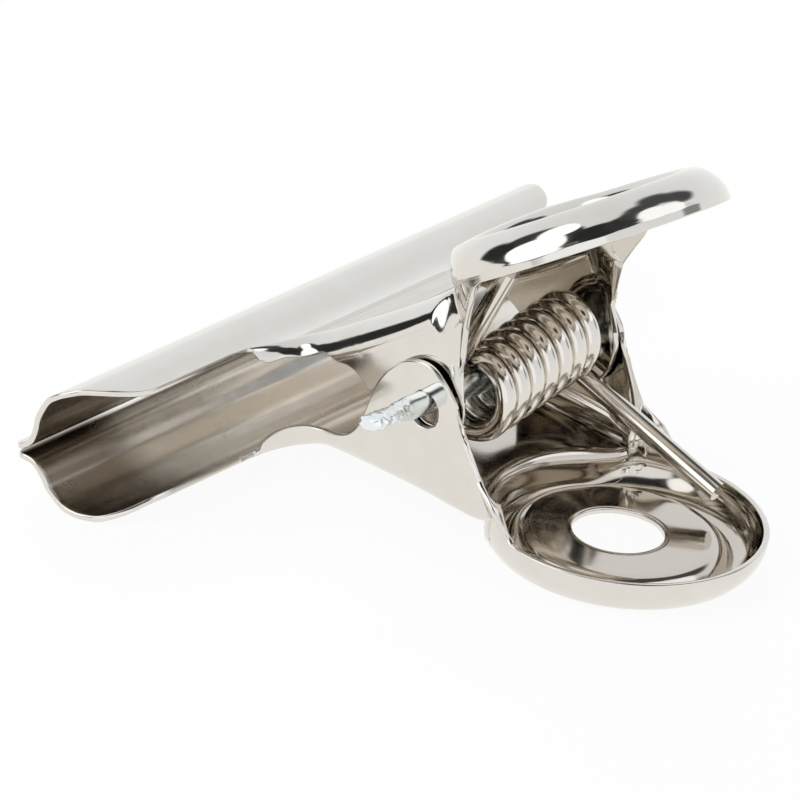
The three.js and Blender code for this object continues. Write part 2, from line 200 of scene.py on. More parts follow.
# Upper and lower half: each is one stamping of thin steel, bright nickel plated, with a long
# rolled jaw, a channel-shaped neck whose sides carry the ears, and a round dished handle. The upper
# half's ears sit inside the lower half's, and the pin through all four holds them together.
tilt = np.radians(17.1)
sheet = 0.6
half_sheet = sheet / 2
jaw_half = 36.2
jaw_depth = 13.0
jaw_back_corner = 7.5
jaw_front_corner = 0.8
lip_gap = 0.24
lip_top = lip_gap / 2 + sheet
mouth_to_pivot = 32.3
stand_height = pivot[2] / MM
# Outer face along the clip: distance from the mouth, height over the lips' outer face.
outer_face = np.array([
    [0.0, 0.0], [1.0, 0.18], [2.0, 0.68], [2.7, 1.78], [3.3, 3.08], [4.8, 4.78], [6.3, 5.48],
    [7.6, 5.78], [9.0, 5.92], [11.0, 5.53], [13.0, 4.73], [14.6, 4.48], [16.5, 4.63], [19.0, 5.18],
    [25.5, 7.15], [30.1, 8.68], [34.8, 10.45], [44.0, 13.48],
])
neck_half = {"lower": 13.4, "upper": 12.35}
bend_radius = 3.0
corner_radius = 1.2
bend_opens, bend_open = 13, 18
flare_radius = 6.6
waist_loss = 0.65
waist_start, waist_end = 35.3, 37.7
flange_front = {"lower": 3.1, "upper": 3.9}
pivot_to_hole = 15.14
hole_radius = 4.6
rim_radius = 14.1
rim_set_back = 0.5
rim_centre = pivot_to_hole + rim_set_back
rim_height = 3.98
step_radius = 13.2
step_half_angle = 34
rim_half_angle = 60
disc_lift = 1.62
disc_radius = 9.0
# Dish from the disc to the wall, at the rim and at the neck: share of the way out, lift.
rim_face = np.array([
    [0.0, disc_lift], [0.1, 1.5], [0.2, 1.05], [0.3, 0.4], [0.38, 0.08], [0.46, 0.0], [0.6, 0.22],
    [0.76, 0.8], [0.9, 1.75], [0.97, 2.6], [1.0, 3.3],
])
step_face = np.array([
    [0.0, disc_lift], [0.12, 1.5], [0.24, 1.05], [0.36, 0.4], [0.47, 0.08], [0.6, 0.0],
    [0.74, 0.03], [0.86, 0.18], [0.94, 0.5], [0.985, 0.9], [1.0, 1.4],
])
round_over = 0.9
climb_share, round_share = 0.45, 0.55
run_out_degrees = 26
landing, landing_loss = 1.1, 0.8
landing_from, landing_to = 38, 58
ear_hole_radius = 1.9
askew = np.radians(3.0)
askew_from, askew_to = 3, 11
web_columns = 27
straight_until, dense_from, last_row = 27.0, 35.4, 39.4


def smooth_curve(points, steps):
    """Catmull-Rom curve: cubic pieces through the points, leaving along the neighbours' chord."""
    padded = np.vstack([2 * points[0] - points[1], points, 2 * points[-1] - points[-2]])
    t = np.linspace(0, 1, steps, endpoint=False)[:, None]
    p0, p1, p2, p3 = (padded[i : len(padded) - 3 + i][:, None, :] for i in range(4))
    body = 0.5 * (2 * p1 + (p2 - p0) * t + (2 * p0 - 5 * p1 + 4 * p2 - p3) * t**2
                  + (3 * p1 - p0 - 3 * p2 + p3) * t**3)
    return np.vstack([body.reshape(-1, points.shape[1]), points[-1:]])


def smoothstep(value, low, high):
    """Cubic ease: 3 t^2 - 2 t^3 with t the clipped share of the way from low to high."""
    t = np.clip((value - low) / (high - low), 0, 1)
    return t * t * (3 - 2 * t)


# Middle of the sheet along the centre line: the outer face moved in by half a sheet.
face_line = smooth_curve(outer_face + [0, lip_top], 24)
along = np.gradient(face_line, axis=0)
along /= np.linalg.norm(along, axis=1)[:, None]
middle_line = face_line + half_sheet * np.stack([along[:, 1], -along[:, 0]], axis=1)
middle_line[:, 0] -= middle_line[0, 0]
line_length = np.concatenate([[0], np.cumsum(np.hypot(*np.diff(middle_line, axis=0).T))])


def length_at(out):
    """Length along the centre line at a distance from the mouth."""
    return np.interp(out, middle_line[:, 0], line_length)


def centre_line(length):
    """Distance from the mouth and height over the middle plane at a length along the line."""
    return (np.interp(length, line_length, middle_line[:, 0]),
            np.interp(length, line_length, middle_line[:, 1]))


def in_half_frame(x, out, up):
    """Points of the half: x across, y from the pivot to the mouth, z out of the middle plane."""
    return np.stack(np.broadcast_arrays(x, mouth_to_pivot - out, up), axis=-1)


def behind_pivot(out, up):
    """Distance behind the pivot, measured along the handle."""
    return -((mouth_to_pivot - out) * np.cos(tilt) - up * np.sin(tilt))


def on_handle(x, behind, lift):
    """Points given by their distance behind the pivot and their lift over the handle's ring."""
    rise = stand_height - lift
    return np.stack(np.broadcast_arrays(
        x, -behind * np.cos(tilt) + rise * np.sin(tilt), behind * np.sin(tilt) + rise * np.cos(tilt)
    ), axis=-1)


def free_edge(out, side):
    """Height of the neck's free edge: the low flange, the ear's round lobe, its rear edge."""
    front = flange_front[side]
    points = np.array([
        [13.0, 5.35], [13.5, 4.9], [14.2, 3.7], [15.5, front - 0.05], [17.2, front - 0.15],
        [19.5, front + 0.3], [21.2, 3.6], [22.6, 3.3], [24.0, 2.2], [25.3, 0.2], [26.6, -1.8],
        [28.2, -3.4], [30.1, -4.5], [32.0, -4.85], [33.6, -4.45], [34.8, -3.3], [35.7, -1.7],
        [36.1, -0.6], [36.22, 0.6], [36.3, 2.6], [36.4, 4.6], [36.7, 5.9], [37.4, 7.4],
        [38.0, 9.0], [38.5, 10.5], [39.1, 11.5], [40.0, 12.12], [42.0, 12.75],
    ])
    curve = smooth_curve(points, 12)
    order = np.maximum.accumulate(curve[:, 0])
    return np.interp(out, order, curve[:, 1])


def neck_section(share, out, up, side):
    """Channel section: a flat web to share 0, then a quarter bend and a wall down to the free edge.

    share -1..0 runs along the web from its middle; 0..1 runs along the bend and the wall by arc
    length. A shallow flange ends part of the way round the bend.
    """
    into_flare = np.clip(flare_radius - (out - jaw_depth), 0, flare_radius)
    flare = flare_radius - np.sqrt(flare_radius**2 - into_flare**2)
    waist = waist_loss * smoothstep(out, waist_start, waist_end)
    opened = smoothstep(out, bend_opens, bend_open)
    radius = corner_radius + (bend_radius - corner_radius) * opened - half_sheet
    wall = neck_half[side] - half_sheet + flare - waist
    web = wall - radius
    depth = np.maximum(up - free_edge(out, side), 1e-4)
    swing = np.arccos(np.clip(1 - depth / radius, 0, 1))
    quarter = radius * np.pi / 2
    length = np.where(depth < radius, radius * swing, quarter + depth - radius)
    bent = np.minimum(quarter, 0.6 * length)
    t = np.clip(share, 0, 1)
    arc = np.where(t < 0.5, 2 * t * bent, bent + (2 * t - 1) * (length - bent))
    angle = np.minimum(arc / radius, np.pi / 2)
    x = web + radius * np.sin(angle)
    drop = radius * (1 - np.cos(angle)) + np.maximum(arc - quarter, 0)
    on_web = share < 0
    return np.where(on_web, web * (1 + share), x), np.where(on_web, up, up - drop)


def step_share(angle):
    """1 where the dish's wall is the steep step at the neck, easing to 0 where it is the rim."""
    turned = np.abs((angle + np.pi) % (2 * np.pi) - np.pi)
    return 1 - smoothstep(np.degrees(turned), step_half_angle, rim_half_angle)


def wall_radius(angle):
    """Radius of the dish's wall round the rim's centre: narrower where it meets the neck."""
    return rim_radius + (step_radius - rim_radius) * step_share(angle) - half_sheet


def mirrored(right):
    """A grid of the half's right side with its mirror image joined to it at x = 0."""
    return np.concatenate([right[:, :0:-1] * [-1, 1, 1], right], axis=1)


def neck_grid(side):
    """Points of the neck, and x of its first row on the flat web.

    The section is carried along the centre line. Its rows run straight across as far as the ears,
    then bend to end on an arc round the dish: the end of each column moves along the line until
    its distance behind the pivot is that of the arc, a landing's width outside the dish's wall.
    """
    web_share = -1 + np.linspace(0, 1, web_columns)
    flange_share = np.concatenate([np.linspace(0, 0.5, 15)[1:], np.linspace(0.5, 1, 45)[1:]])
    share = np.concatenate([web_share, flange_share])
    flare = jaw_depth + flare_radius * (1 - np.cos(np.linspace(0, np.pi / 2, 22)))
    straight = np.linspace(flare[-1], straight_until, 18)[1:]
    rear = np.concatenate([np.linspace(straight_until, dense_from, 22)[1:],
                           np.linspace(dense_from, last_row, 30)[1:]])
    rear_share = (rear - straight_until) / (last_row - straight_until)
    first_guess, step, rounds = 38.0, 0.9, 6
    end_out = np.full(share.shape, first_guess)
    for _ in range(rounds):
        end_up = centre_line(length_at(end_out))[1]
        x_end, up_end = neck_section(share, end_out, end_up, side)
        angle = np.arcsin(np.clip(x_end / (wall_radius(0) + landing), -1, 1))
        margin = landing - landing_loss * smoothstep(np.degrees(angle), landing_from, landing_to)
        reach = wall_radius(angle) + margin
        behind = rim_centre - np.sqrt(np.maximum(reach**2 - x_end**2, 0))
        error = behind - behind_pivot(end_out, up_end)
        end_out = end_out + step * error
    out_rows = np.concatenate([flare, straight])[:, None] * np.ones(share.shape)
    bent_rows = straight_until + rear_share[:, None] * (end_out - straight_until)[None, :]
    out = np.vstack([out_rows, bent_rows])
    up = centre_line(length_at(out))[1]
    x, up = neck_section(share[None, :], out, up, side)
    return mirrored(in_half_frame(x, out, up)), x[0, :web_columns]


def jaw_grid(inner_x):
    """Points of the jaw: its profile carried across on the neck's first columns and more.

    A rounded corner draws the end in by its radius less the root of the radius squared less the
    way into the corner squared.
    """
    reach_x = np.linspace(inner_x[-1], jaw_half, 44)[1:]
    column = np.concatenate([inner_x, reach_x])
    full_until = jaw_depth - jaw_back_corner
    rows = np.concatenate([
        np.linspace(0, jaw_front_corner, 6)[:-1], np.linspace(jaw_front_corner, full_until, 34),
        full_until + jaw_back_corner * np.sin(np.linspace(0, np.pi / 2, 34))[1:],
    ])
    jaw_out, jaw_up = centre_line(length_at(rows))
    into_back = np.clip(rows - full_until, 0, jaw_back_corner)
    into_front = np.clip(jaw_front_corner - rows, 0, jaw_front_corner)
    end_x = (jaw_half - jaw_back_corner + np.sqrt(jaw_back_corner**2 - into_back**2)
             - jaw_front_corner + np.sqrt(jaw_front_corner**2 - into_front**2))
    grow = np.clip((column - inner_x[-1]) / (jaw_half - inner_x[-1]), 0, 1)
    jaw_x = column[None, :] + grow[None, :] * (end_x[:, None] - jaw_half)
    return mirrored(in_half_frame(jaw_x, jaw_out[:, None], jaw_up[:, None]))


def dish_grid(last):
    """Points of the dish from the hole's edge outwards, ending on the neck's last row of points.

    The profile of disc, ring and wall is carried round the rim's centre, changing from the rim's
    to the step's towards the neck.
    """
    last_behind = -(last[:, 1] * np.cos(tilt) - last[:, 2] * np.sin(tilt))
    last_lift = stand_height - (last[:, 1] * np.sin(tilt) + last[:, 2] * np.cos(tilt))
    neck_angle = np.arctan2(last[:, 0], rim_centre - last_behind)
    kink = neck_angle[-1]
    around = np.linspace(kink, 2 * np.pi - kink, 150)[1:-1]
    angle = np.concatenate([neck_angle, around])
    wrapped = np.abs((angle + np.pi) % (2 * np.pi) - np.pi)
    even = np.concatenate([np.linspace(-kink, kink, len(neck_angle)), around])
    share_out = rim_face[:, :1]
    turned = even + smoothstep(share_out, 0.3, 1.0) * (angle - even)
    to_step = step_share(turned)
    wall = rim_radius + (step_radius - rim_radius) * to_step
    profile_share = rim_face[:, :1] * (1 - to_step) + step_face[:, :1] * to_step
    profile_lift = rim_face[:, 1:] * (1 - to_step) + step_face[:, 1:] * to_step
    radius = disc_radius + profile_share * (wall - disc_radius)
    control = np.stack([radius, profile_lift, turned, share_out + 0 * radius], axis=-1)
    profile = smooth_curve(control.reshape(len(rim_face), -1), 5).reshape(-1, len(angle), 4)
    slope = np.gradient(profile[..., :2], axis=0)
    slope[0] = [1, 0]
    slope[-1] = [0, 1]
    slope /= np.linalg.norm(slope, axis=-1, keepdims=True)
    profile[..., 0] -= half_sheet * slope[..., 1]
    profile[..., 1] += half_sheet * slope[..., 0]
    disc = np.linspace(hole_radius, disc_radius, 9)[:-1, None]
    disc_rows = np.stack(np.broadcast_arrays(disc, disc_lift + half_sheet, even, 0.0), axis=-1)
    profile = np.concatenate([disc_rows, profile])

    # Wall top: plain up to the rim on the free side; at the neck it rounds over onto the web.
    foot = profile[-1]
    rise = np.linspace(0, 1, 15)[1:, None]
    rim_lift = foot[None, :, 1] + rise * (rim_height - foot[None, :, 1])
    rim_side = np.stack([foot[None, :, 0] + 0 * rise, rim_lift], -1)
    end_radius = np.hypot(last[:, 0], rim_centre - last_behind)
    full_radius = np.concatenate([end_radius, np.full(len(around), foot[0, 0])])
    full_lift = np.concatenate([last_lift, np.full(len(around), rim_height)])
    t = np.clip((rise - climb_share) / round_share, 0, 1)
    climb = np.clip(rise / climb_share, 0, 1)
    over = (1 - (1 - t) ** 2) * round_over
    neck_side = np.stack([
        foot[:, 0] + t**2 * (full_radius - foot[:, 0]),
        foot[:, 1] + climb * (full_lift - round_over - foot[:, 1]) + over,
    ], -1)
    beyond = np.degrees(wrapped - kink)
    to_neck = np.where(beyond > 1e-6, 1 - smoothstep(beyond, 0, run_out_degrees), 1.0)
    kinked = np.stack([
        foot[:, 0] + t**2 * (end_radius[-1] - foot[:, 0]),
        foot[:, 1] + climb * (last_lift[-1] - round_over - foot[:, 1]) + over,
    ], -1)
    neck_side = np.where((beyond > 1e-6)[None, :, None], kinked, neck_side)
    top = rim_side * (1 - to_neck[None, :, None]) + neck_side * to_neck[None, :, None]
    turned_and_share = np.stack(np.broadcast_arrays(angle, 1.0, top[..., 0])[:2], -1)
    top = np.concatenate([top, turned_and_share], axis=-1)
    profile = np.concatenate([profile, top])
    radius, lift, turned, share_out = np.moveaxis(profile, -1, 0)
    centre = pivot_to_hole + rim_set_back * share_out
    return on_handle(radius * np.sin(turned), centre - radius * np.cos(turned), lift)


def stamped_half(side):
    """Points, faces and the two free corners of the middle of a half's sheet, in its own frame.

    The jaw, the neck and the dish meet edge to edge. At the pin holes the neck's quads inside the
    hole are left out, and the other points inside it move straight out to its edge.
    """
    neck, inner_x = neck_grid(side)
    from_pivot = np.hypot(neck[..., 1], neck[..., 2])
    inside = from_pivot < ear_hole_radius
    push = np.where(inside, ear_hole_radius / np.maximum(from_pivot, 0.01), 1.0)
    neck_faces = grid_faces(neck.shape[0], neck.shape[1])
    neck_faces = neck_faces[~inside.reshape(-1)[neck_faces].all(axis=1)]
    jaw, dish = jaw_grid(inner_x), dish_grid(neck[-1])
    corners = neck[-1, [0, -1]]
    neck = neck * np.stack([np.ones_like(push), push, push], axis=-1)
    points = np.concatenate([grid.reshape(-1, 3) for grid in (jaw, neck, dish)])
    past_jaw = jaw.shape[0] * jaw.shape[1]
    past_neck = past_jaw + neck.shape[0] * neck.shape[1]
    faces = [
        grid_faces(jaw.shape[0], jaw.shape[1]),
        neck_faces + past_jaw,
        grid_faces(dish.shape[0], dish.shape[1], True) + past_neck,
    ]
    return points, faces, corners


def to_row_frame(points, side):
    """From a half's own frame to the row frame: mirrored for the lower half, then laid down."""
    x, y, z = points.T
    z = z if side == "upper" else -z
    laid_y = y * np.cos(tilt) + z * np.sin(tilt)
    laid_z = -y * np.sin(tilt) + z * np.cos(tilt)
    return np.stack([x, laid_y, laid_z], axis=1) * MM + pivot


def twisted(points):
    """The upper handle a little askew: turned about its own length, through the disc's middle.

    The angle eases from none near the pivot to all of it at the dish.
    """
    x, y, z = points.T
    forward = y * np.cos(tilt) - z * np.sin(tilt)
    above = y * np.sin(tilt) + z * np.cos(tilt) - (stand_height - disc_lift)
    turn = askew * smoothstep(-forward, askew_from, askew_to)
    across = x * np.cos(turn) + above * np.sin(turn)
    above = above * np.cos(turn) - x * np.sin(turn) + stand_height - disc_lift
    return np.stack([across, forward * np.cos(tilt) + above * np.sin(tilt),
                     above * np.cos(tilt) - forward * np.sin(tilt)], axis=1)


def outward(piece):
    """Merges the points that lie on each other, drops unused ones and turns faces outwards."""
    touching = 0.008 * MM
    skin = bmesh.new()
    skin.from_mesh(piece.data)
    bmesh.ops.remove_doubles(skin, verts=skin.verts, dist=touching)
    bmesh.ops.delete(skin, geom=[v for v in skin.verts if not v.link_faces], context="VERTS")
    bmesh.ops.recalc_face_normals(skin, faces=skin.faces)
    skin.to_mesh(piece.data)
    skin.free()


def mesh_arrays(mesh):
    """Points, normals, edge ends, open edges and the triangles and quads of a mesh, as arrays."""
    place = np.empty(len(mesh.vertices) * 3)
    mesh.vertices.foreach_get("co", place)
    facing = np.empty(len(mesh.vertices) * 3)
    mesh.vertex_normals.foreach_get("vector", facing)
    ends = np.empty(len(mesh.edges) * 2, dtype=np.int64)
    mesh.edges.foreach_get("vertices", ends)
    loop_edge = np.empty(len(mesh.loops), dtype=np.int64)
    mesh.loops.foreach_get("edge_index", loop_edge)
    loop_point = np.empty(len(mesh.loops), dtype=np.int64)
    mesh.loops.foreach_get("vertex_index", loop_point)
    start = np.empty(len(mesh.polygons), dtype=np.int64)
    mesh.polygons.foreach_get("loop_start", start)
    size = np.empty(len(mesh.polygons), dtype=np.int64)
    mesh.polygons.foreach_get("loop_total", size)
    is_open = np.bincount(loop_edge, minlength=len(mesh.edges)) == 1
    blocks = [loop_point[start[size == k][:, None] + np.arange(k)] for k in (3, 4)]
    return place.reshape(-1, 3), facing.reshape(-1, 3), ends.reshape(-1, 2), is_open, blocks


def relaxed(piece, centres, reach, rounds):
    """Smooths the sheet near some centres: each point moves towards the mean of its neighbours.

    In each round it goes half the way near a centre, easing to none at the reach. Points on an
    open edge look only at their neighbours along that edge.
    """
    place, _, ends, is_open, _ = mesh_arrays(piece.data)
    on_edge = np.zeros(len(place), dtype=bool)
    on_edge[ends[is_open]] = True
    near = np.min([np.linalg.norm(place - centre, axis=1) for centre in centres], axis=0)
    pairs = np.concatenate([ends, ends[:, ::-1]])
    pair_open = np.concatenate([is_open, is_open])
    pairs = pairs[(pair_open | ~on_edge[pairs[:, 0]]) & (near[pairs[:, 0]] < reach)]
    moving, row = np.unique(pairs[:, 0], return_inverse=True)
    share = 0.5 * (1 - smoothstep(near[moving], 0.4 * reach, reach))[:, None]
    count = np.bincount(row)[:, None]
    for _ in range(rounds):
        total = np.stack([np.bincount(row, place[pairs[:, 1], k]) for k in range(3)], axis=1)
        place[moving] += share * (total / count - place[moving])
    piece.data.vertices.foreach_set("co", place.reshape(-1))
    piece.data.update()


def thickened(piece, thickness, edge_round):
    """Gives the sheet its thickness: the middle surface moved half of it to either side.

    Three strips close each open edge, a chamfer, the flat cut and a chamfer, and stand out by
    the rounding. Material 0 is outside, 1 inside, 2 the cut edge.
    """
    place, facing, _, _, blocks = mesh_arrays(piece.data)
    if np.sum(facing * (place - pivot)) < 0:
        facing = -facing
        blocks = [block[:, ::-1] for block in blocks]
    sides = np.concatenate([
        np.stack([block, np.roll(block, -1, axis=1)], axis=-1).reshape(-1, 2) for block in blocks
    ])
    code = sides.min(axis=1) * len(place) + sides.max(axis=1)
    _, first, uses = np.unique(code, return_index=True, return_counts=True)
    rim = sides[first[uses == 1]]
    along = place[rim[:, 1]] - place[rim[:, 0]]
    away = np.cross(along, facing[rim[:, 0]] + facing[rim[:, 1]])
    away /= np.maximum(np.linalg.norm(away, axis=1), 1e-12)[:, None]
    out = np.zeros_like(place)
    np.add.at(out, rim[:, 0], away)
    np.add.at(out, rim[:, 1], away)
    out /= np.maximum(np.linalg.norm(out, axis=1), 1e-12)[:, None]
    half = thickness / 2
    layers = [
        place + half * facing, place - half * facing,
        place + (half - edge_round) * facing + edge_round * out,
        place - (half - edge_round) * facing + edge_round * out,
    ]
    n = len(place)
    a, b = rim.T
    strips = [
        np.stack([b + p * n, a + p * n, a + q * n, b + q * n], axis=1)
        for p, q in ((0, 2), (2, 3), (3, 1))
    ]
    faces = blocks + [block[:, ::-1] + n for block in blocks] + strips
    paint = np.concatenate([
        np.full(len(block), slot) for block, slot in zip(faces, (0, 0, 1, 1, 2, 2, 2))
    ])
    mesh = bpy.data.meshes.new(piece.name)
    flat = [face for block in faces for face in block.tolist()]
    mesh.from_pydata(np.concatenate(layers).tolist(), [], flat)
    for finish in piece.data.materials:
        mesh.materials.append(finish)
    mesh.polygons.foreach_set("material_index", paint)
    bare, piece.data = piece.data, mesh
    bpy.data.meshes.remove(bare)
    mesh.name = piece.name
    skin = bmesh.new()
    skin.from_mesh(mesh)
    bmesh.ops.delete(skin, geom=[v for v in skin.verts if not v.link_faces], context="VERTS")
    skin.to_mesh(mesh)
    skin.free()


def shaded(piece, sharp_degrees):
    """Shades the piece smooth, with creases above the given angle."""
    piece.data.shade_smooth()
    piece.data.set_sharp_from_angle(angle=np.radians(sharp_degrees))


def plating_group():
    """Shader group of the plating: slow waves from the press, smudges and fine rubbing.

    The height is a noise times its depth in metres; the roughness and the colour move between
    two values each with a finer noise.
    """
    group = bpy.data.node_groups.new("plating", "ShaderNodeTree")
    for label, kind in (("Colour", "NodeSocketColor"), ("Rubbed Colour", "NodeSocketColor"),
                        ("Roughness", "NodeSocketFloat"), ("Rubbed Roughness", "NodeSocketFloat"),
                        ("Wave Depth", "NodeSocketFloat")):
        group.interface.new_socket(label, in_out="INPUT", socket_type=kind)
    for label, kind in (("Colour", "NodeSocketColor"), ("Roughness", "NodeSocketFloat"),
                        ("Normal", "NodeSocketVector")):
        group.interface.new_socket(label, in_out="OUTPUT", socket_type=kind)
    nodes, links = group.nodes, group.links
    given = nodes.new("NodeGroupInput")
    result = nodes.new("NodeGroupOutput")
    where = nodes.new("ShaderNodeTexCoord")
    waves = nodes.new("ShaderNodeTexNoise")
    waves.inputs["Scale"].default_value = 140.0
    waves.inputs["Detail"].default_value = 2.0
    links.new(where.outputs["Object"], waves.inputs["Vector"])
    height = nodes.new("ShaderNodeMath")
    height.operation = "MULTIPLY"
    links.new(waves.outputs["Fac"], height.inputs[0])
    links.new(given.outputs["Wave Depth"], height.inputs[1])
    bump = nodes.new("ShaderNodeBump")
    bump.inputs["Distance"].default_value = 1.0
    links.new(height.outputs[0], bump.inputs["Height"])
    links.new(bump.outputs["Normal"], result.inputs["Normal"])
    smudge = nodes.new("ShaderNodeTexNoise")
    smudge.inputs["Scale"].default_value = 350.0
    smudge.inputs["Detail"].default_value = 6.0
    links.new(where.outputs["Object"], smudge.inputs["Vector"])
    spread = nodes.new("ShaderNodeMapRange")
    spread.inputs["From Min"].default_value = 0.35
    spread.inputs["From Max"].default_value = 0.7
    links.new(smudge.outputs["Fac"], spread.inputs["Value"])
    links.new(given.outputs["Roughness"], spread.inputs["To Min"])
    links.new(given.outputs["Rubbed Roughness"], spread.inputs["To Max"])
    links.new(spread.outputs["Result"], result.inputs["Roughness"])
    tint = nodes.new("ShaderNodeMix")
    tint.data_type = "RGBA"
    links.new(smudge.outputs["Fac"], tint.inputs[0])
    links.new(given.outputs["Colour"], tint.inputs[6])
    links.new(given.outputs["Rubbed Colour"], tint.inputs[7])
    links.new(tint.outputs[2], result.inputs["Colour"])
    return group


plating = plating_group()


def plated(name, colour, rough, wave_depth):
    """A plated metal: the Principled shader fed by the plating group with this metal's values."""
    material = bpy.data.materials.new(name)
    material.use_nodes = True
    nodes, links = material.node_tree.nodes, material.node_tree.links
    shader = nodes["Principled BSDF"]
    shader.inputs["Metallic"].default_value = 1.0
    coat = nodes.new("ShaderNodeGroup")
    coat.node_tree = plating
    coat.inputs["Colour"].default_value = (*colour, 1)
    rubbed = [level * fade for level, fade in zip(colour, (0.93, 0.91, 0.88))]
    coat.inputs["Rubbed Colour"].default_value = (*rubbed, 1)
    coat.inputs["Roughness"].default_value = rough
    coat.inputs["Rubbed Roughness"].default_value = rough + 0.07
    coat.inputs["Wave Depth"].default_value = wave_depth
    links.new(coat.outputs["Colour"], shader.inputs["Base Color"])
    links.new(coat.outputs["Roughness"], shader.inputs["Roughness"])
    links.new(coat.outputs["Normal"], shader.inputs["Normal"])
    return material


# Painted shade: the inside faces of both halves, away from the jaw, get this darker, browner colour
# than the outside nickel, standing in for the shade in the hollows.
recess_shade_colour = (0.63, 0.58, 0.51)


def jaw_painted_shade_and_highlight(material):
    """Inside the jaw the metal is rougher and paler, with painted shade towards the near end and a
    painted highlight, a pale band, just past it.

    Ramps along Y and X of the object's coordinates give the way into the jaw, the place along it
    and the two roughnesses, and a colour ramp over the place along it gives the painted shade and
    the painted highlight. Away from the jaw the inside keeps the recess colour, painted shade too.
    """
    nodes, links = material.node_tree.nodes, material.node_tree.links
    coat = next(node for node in nodes if node.type == "GROUP")
    where = nodes.new("ShaderNodeTexCoord")
    apart = nodes.new("ShaderNodeSeparateXYZ")
    links.new(where.outputs["Object"], apart.inputs[0])
    back, front, end = 11 * MM, 17 * MM, 36.5 * MM
    ramps = []
    for axis, low, high, first, last in (
        ("Y", back, front, 0.0, 1.0), ("X", -end, end, 0.0, 1.0),
        ("Y", back, front, 0.08, 0.2), ("Y", back, front, 0.13, 0.28),
    ):
        ramp = nodes.new("ShaderNodeMapRange")
        for label, level in zip(("From Min", "From Max", "To Min", "To Max"),
                                (low, high, first, last)):
            ramp.inputs[label].default_value = level
        links.new(apart.outputs[axis], ramp.inputs["Value"])
        ramps.append(ramp.outputs["Result"])
    into_jaw, along_jaw, rough, rubbed_rough = ramps
    # Painted shade and a painted highlight along the jaw: dark brown at the near end, a pale band
    # just past it, then an even pale tone.
    painted_shade_and_highlight = nodes.new("ShaderNodeValToRGB")
    painted_shade_and_highlight.color_ramp.interpolation = "EASE"
    painted_shade_and_highlight.color_ramp.elements[0].position = 0.12
    painted_shade_and_highlight.color_ramp.elements[0].color = (0.34, 0.295, 0.24, 1)
    painted_shade_and_highlight.color_ramp.elements[1].position = 0.6
    painted_shade_and_highlight.color_ramp.elements[1].color = (0.82, 0.775, 0.71, 1)
    for place in (0.22, 0.42):
        stop = painted_shade_and_highlight.color_ramp.elements.new(place)
        stop.color = (0.96, 0.93, 0.88, 1)
    links.new(along_jaw, painted_shade_and_highlight.inputs["Fac"])
    inner = nodes.new("ShaderNodeMix")
    inner.data_type = "RGBA"
    inner.inputs[6].default_value = (*recess_shade_colour, 1)
    links.new(into_jaw, inner.inputs[0])
    links.new(painted_shade_and_highlight.outputs["Color"], inner.inputs[7])
    for label in ("Colour", "Rubbed Colour"):
        links.new(inner.outputs[2], coat.inputs[label])
    links.new(rough, coat.inputs["Roughness"])
    links.new(rubbed_rough, coat.inputs["Rubbed Roughness"])


nickel = plated("bright_nickel", (0.76, 0.735, 0.68), rough=0.05, wave_depth=0.00002)
# Inside faces: painted shade, and in the jaw a painted highlight as well.
inside_painted_shade_and_highlight = plated("inside_nickel_painted_shade_and_highlight", recess_shade_colour, rough=0.08, wave_depth=0.00002)
jaw_painted_shade_and_highlight(inside_painted_shade_and_highlight)
# The cut edge is a little brighter than the faces: a slight painted highlight along it.
cut_edge_painted_highlight = plated("cut_edge_painted_highlight", (0.78, 0.75, 0.70), rough=0.16, wave_depth=0.00004)

smoothing_reach = 3.8
smoothing_rounds = 900
cut_rounding = 0.08
for side, body in (("lower", "lower"), ("upper", "upper")):
    points, faces, corners = stamped_half(side)
    if side == "upper":
        points, corners = twisted(points), twisted(corners)
    points, corners = to_row_frame(points, side), to_row_frame(corners, side)
    half = mesh_object(f"{side}_half", points, faces)
    outward(half)
    relaxed(half, corners, smoothing_reach * MM, smoothing_rounds)
    for finish in (nickel, inside_painted_shade_and_highlight, cut_edge_painted_highlight):
        half.data.materials.append(finish)
    thickened(half, sheet * MM, cut_rounding * MM)
    shaded(half, sharp_degrees=50)
    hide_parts(f"{side}_plate")
    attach(half, body)

# Torsion spring: one hard steel wire, nickel plated, wound in close curls round the pin. A
# straight leg from each end of the coil presses on the inside of a handle, which holds it.
wire_radius = 1.0
wire_sides = 24
coil_radius = 3.4
curls = 7
steps_a_curl = 56
pitch = 2.27
coil_centre = np.array([1.5, -0.3, 0.0])
coil_lean = np.radians(8.0)
upper_leg = 15.0
upper_leg_angle = np.radians(50.0)
lower_leg = 21.6
lower_leg_angle = np.radians(35.0)


def wire_path():
    """Straight leg, helix about X and straight leg, as points in the clip's middle-plane frame."""
    start = np.pi / 2 - upper_leg_angle
    stop = lower_leg_angle - np.pi / 2 - 2 * np.pi * curls
    steps = int((start - stop) / (2 * np.pi) * steps_a_curl)
    angle = np.linspace(start, stop, steps)
    length = pitch * (start - stop) / (2 * np.pi)
    x = np.linspace(-length / 2, length / 2, steps)
    up = coil_radius * np.sin(angle) + x * np.tan(coil_lean)
    coil = np.stack([x, coil_radius * np.cos(angle), up], axis=1)
    up_way = np.array([0, -np.cos(upper_leg_angle), np.sin(upper_leg_angle)])
    low_way = np.array([0, -np.cos(lower_leg_angle), -np.sin(lower_leg_angle)])
    far = np.linspace(1, 0, 40)[:-1, None]
    first = coil[0] + far * upper_leg * up_way
    last = coil[-1] + far[::-1] * lower_leg * low_way
    return np.concatenate([first, coil, last]) + coil_centre


def end_fans(rows, sides):
    """Triangles that close a grid of rings at both ends, round two middle points put after it."""
    count = rows * sides
    a = np.arange(sides)
    b = (a + 1) % sides
    first = np.stack([b, a, np.full(sides, count)], axis=1)
    last = np.stack([a + count - sides, b + count - sides, np.full(sides, count + 1)], axis=1)
    return [first, last]


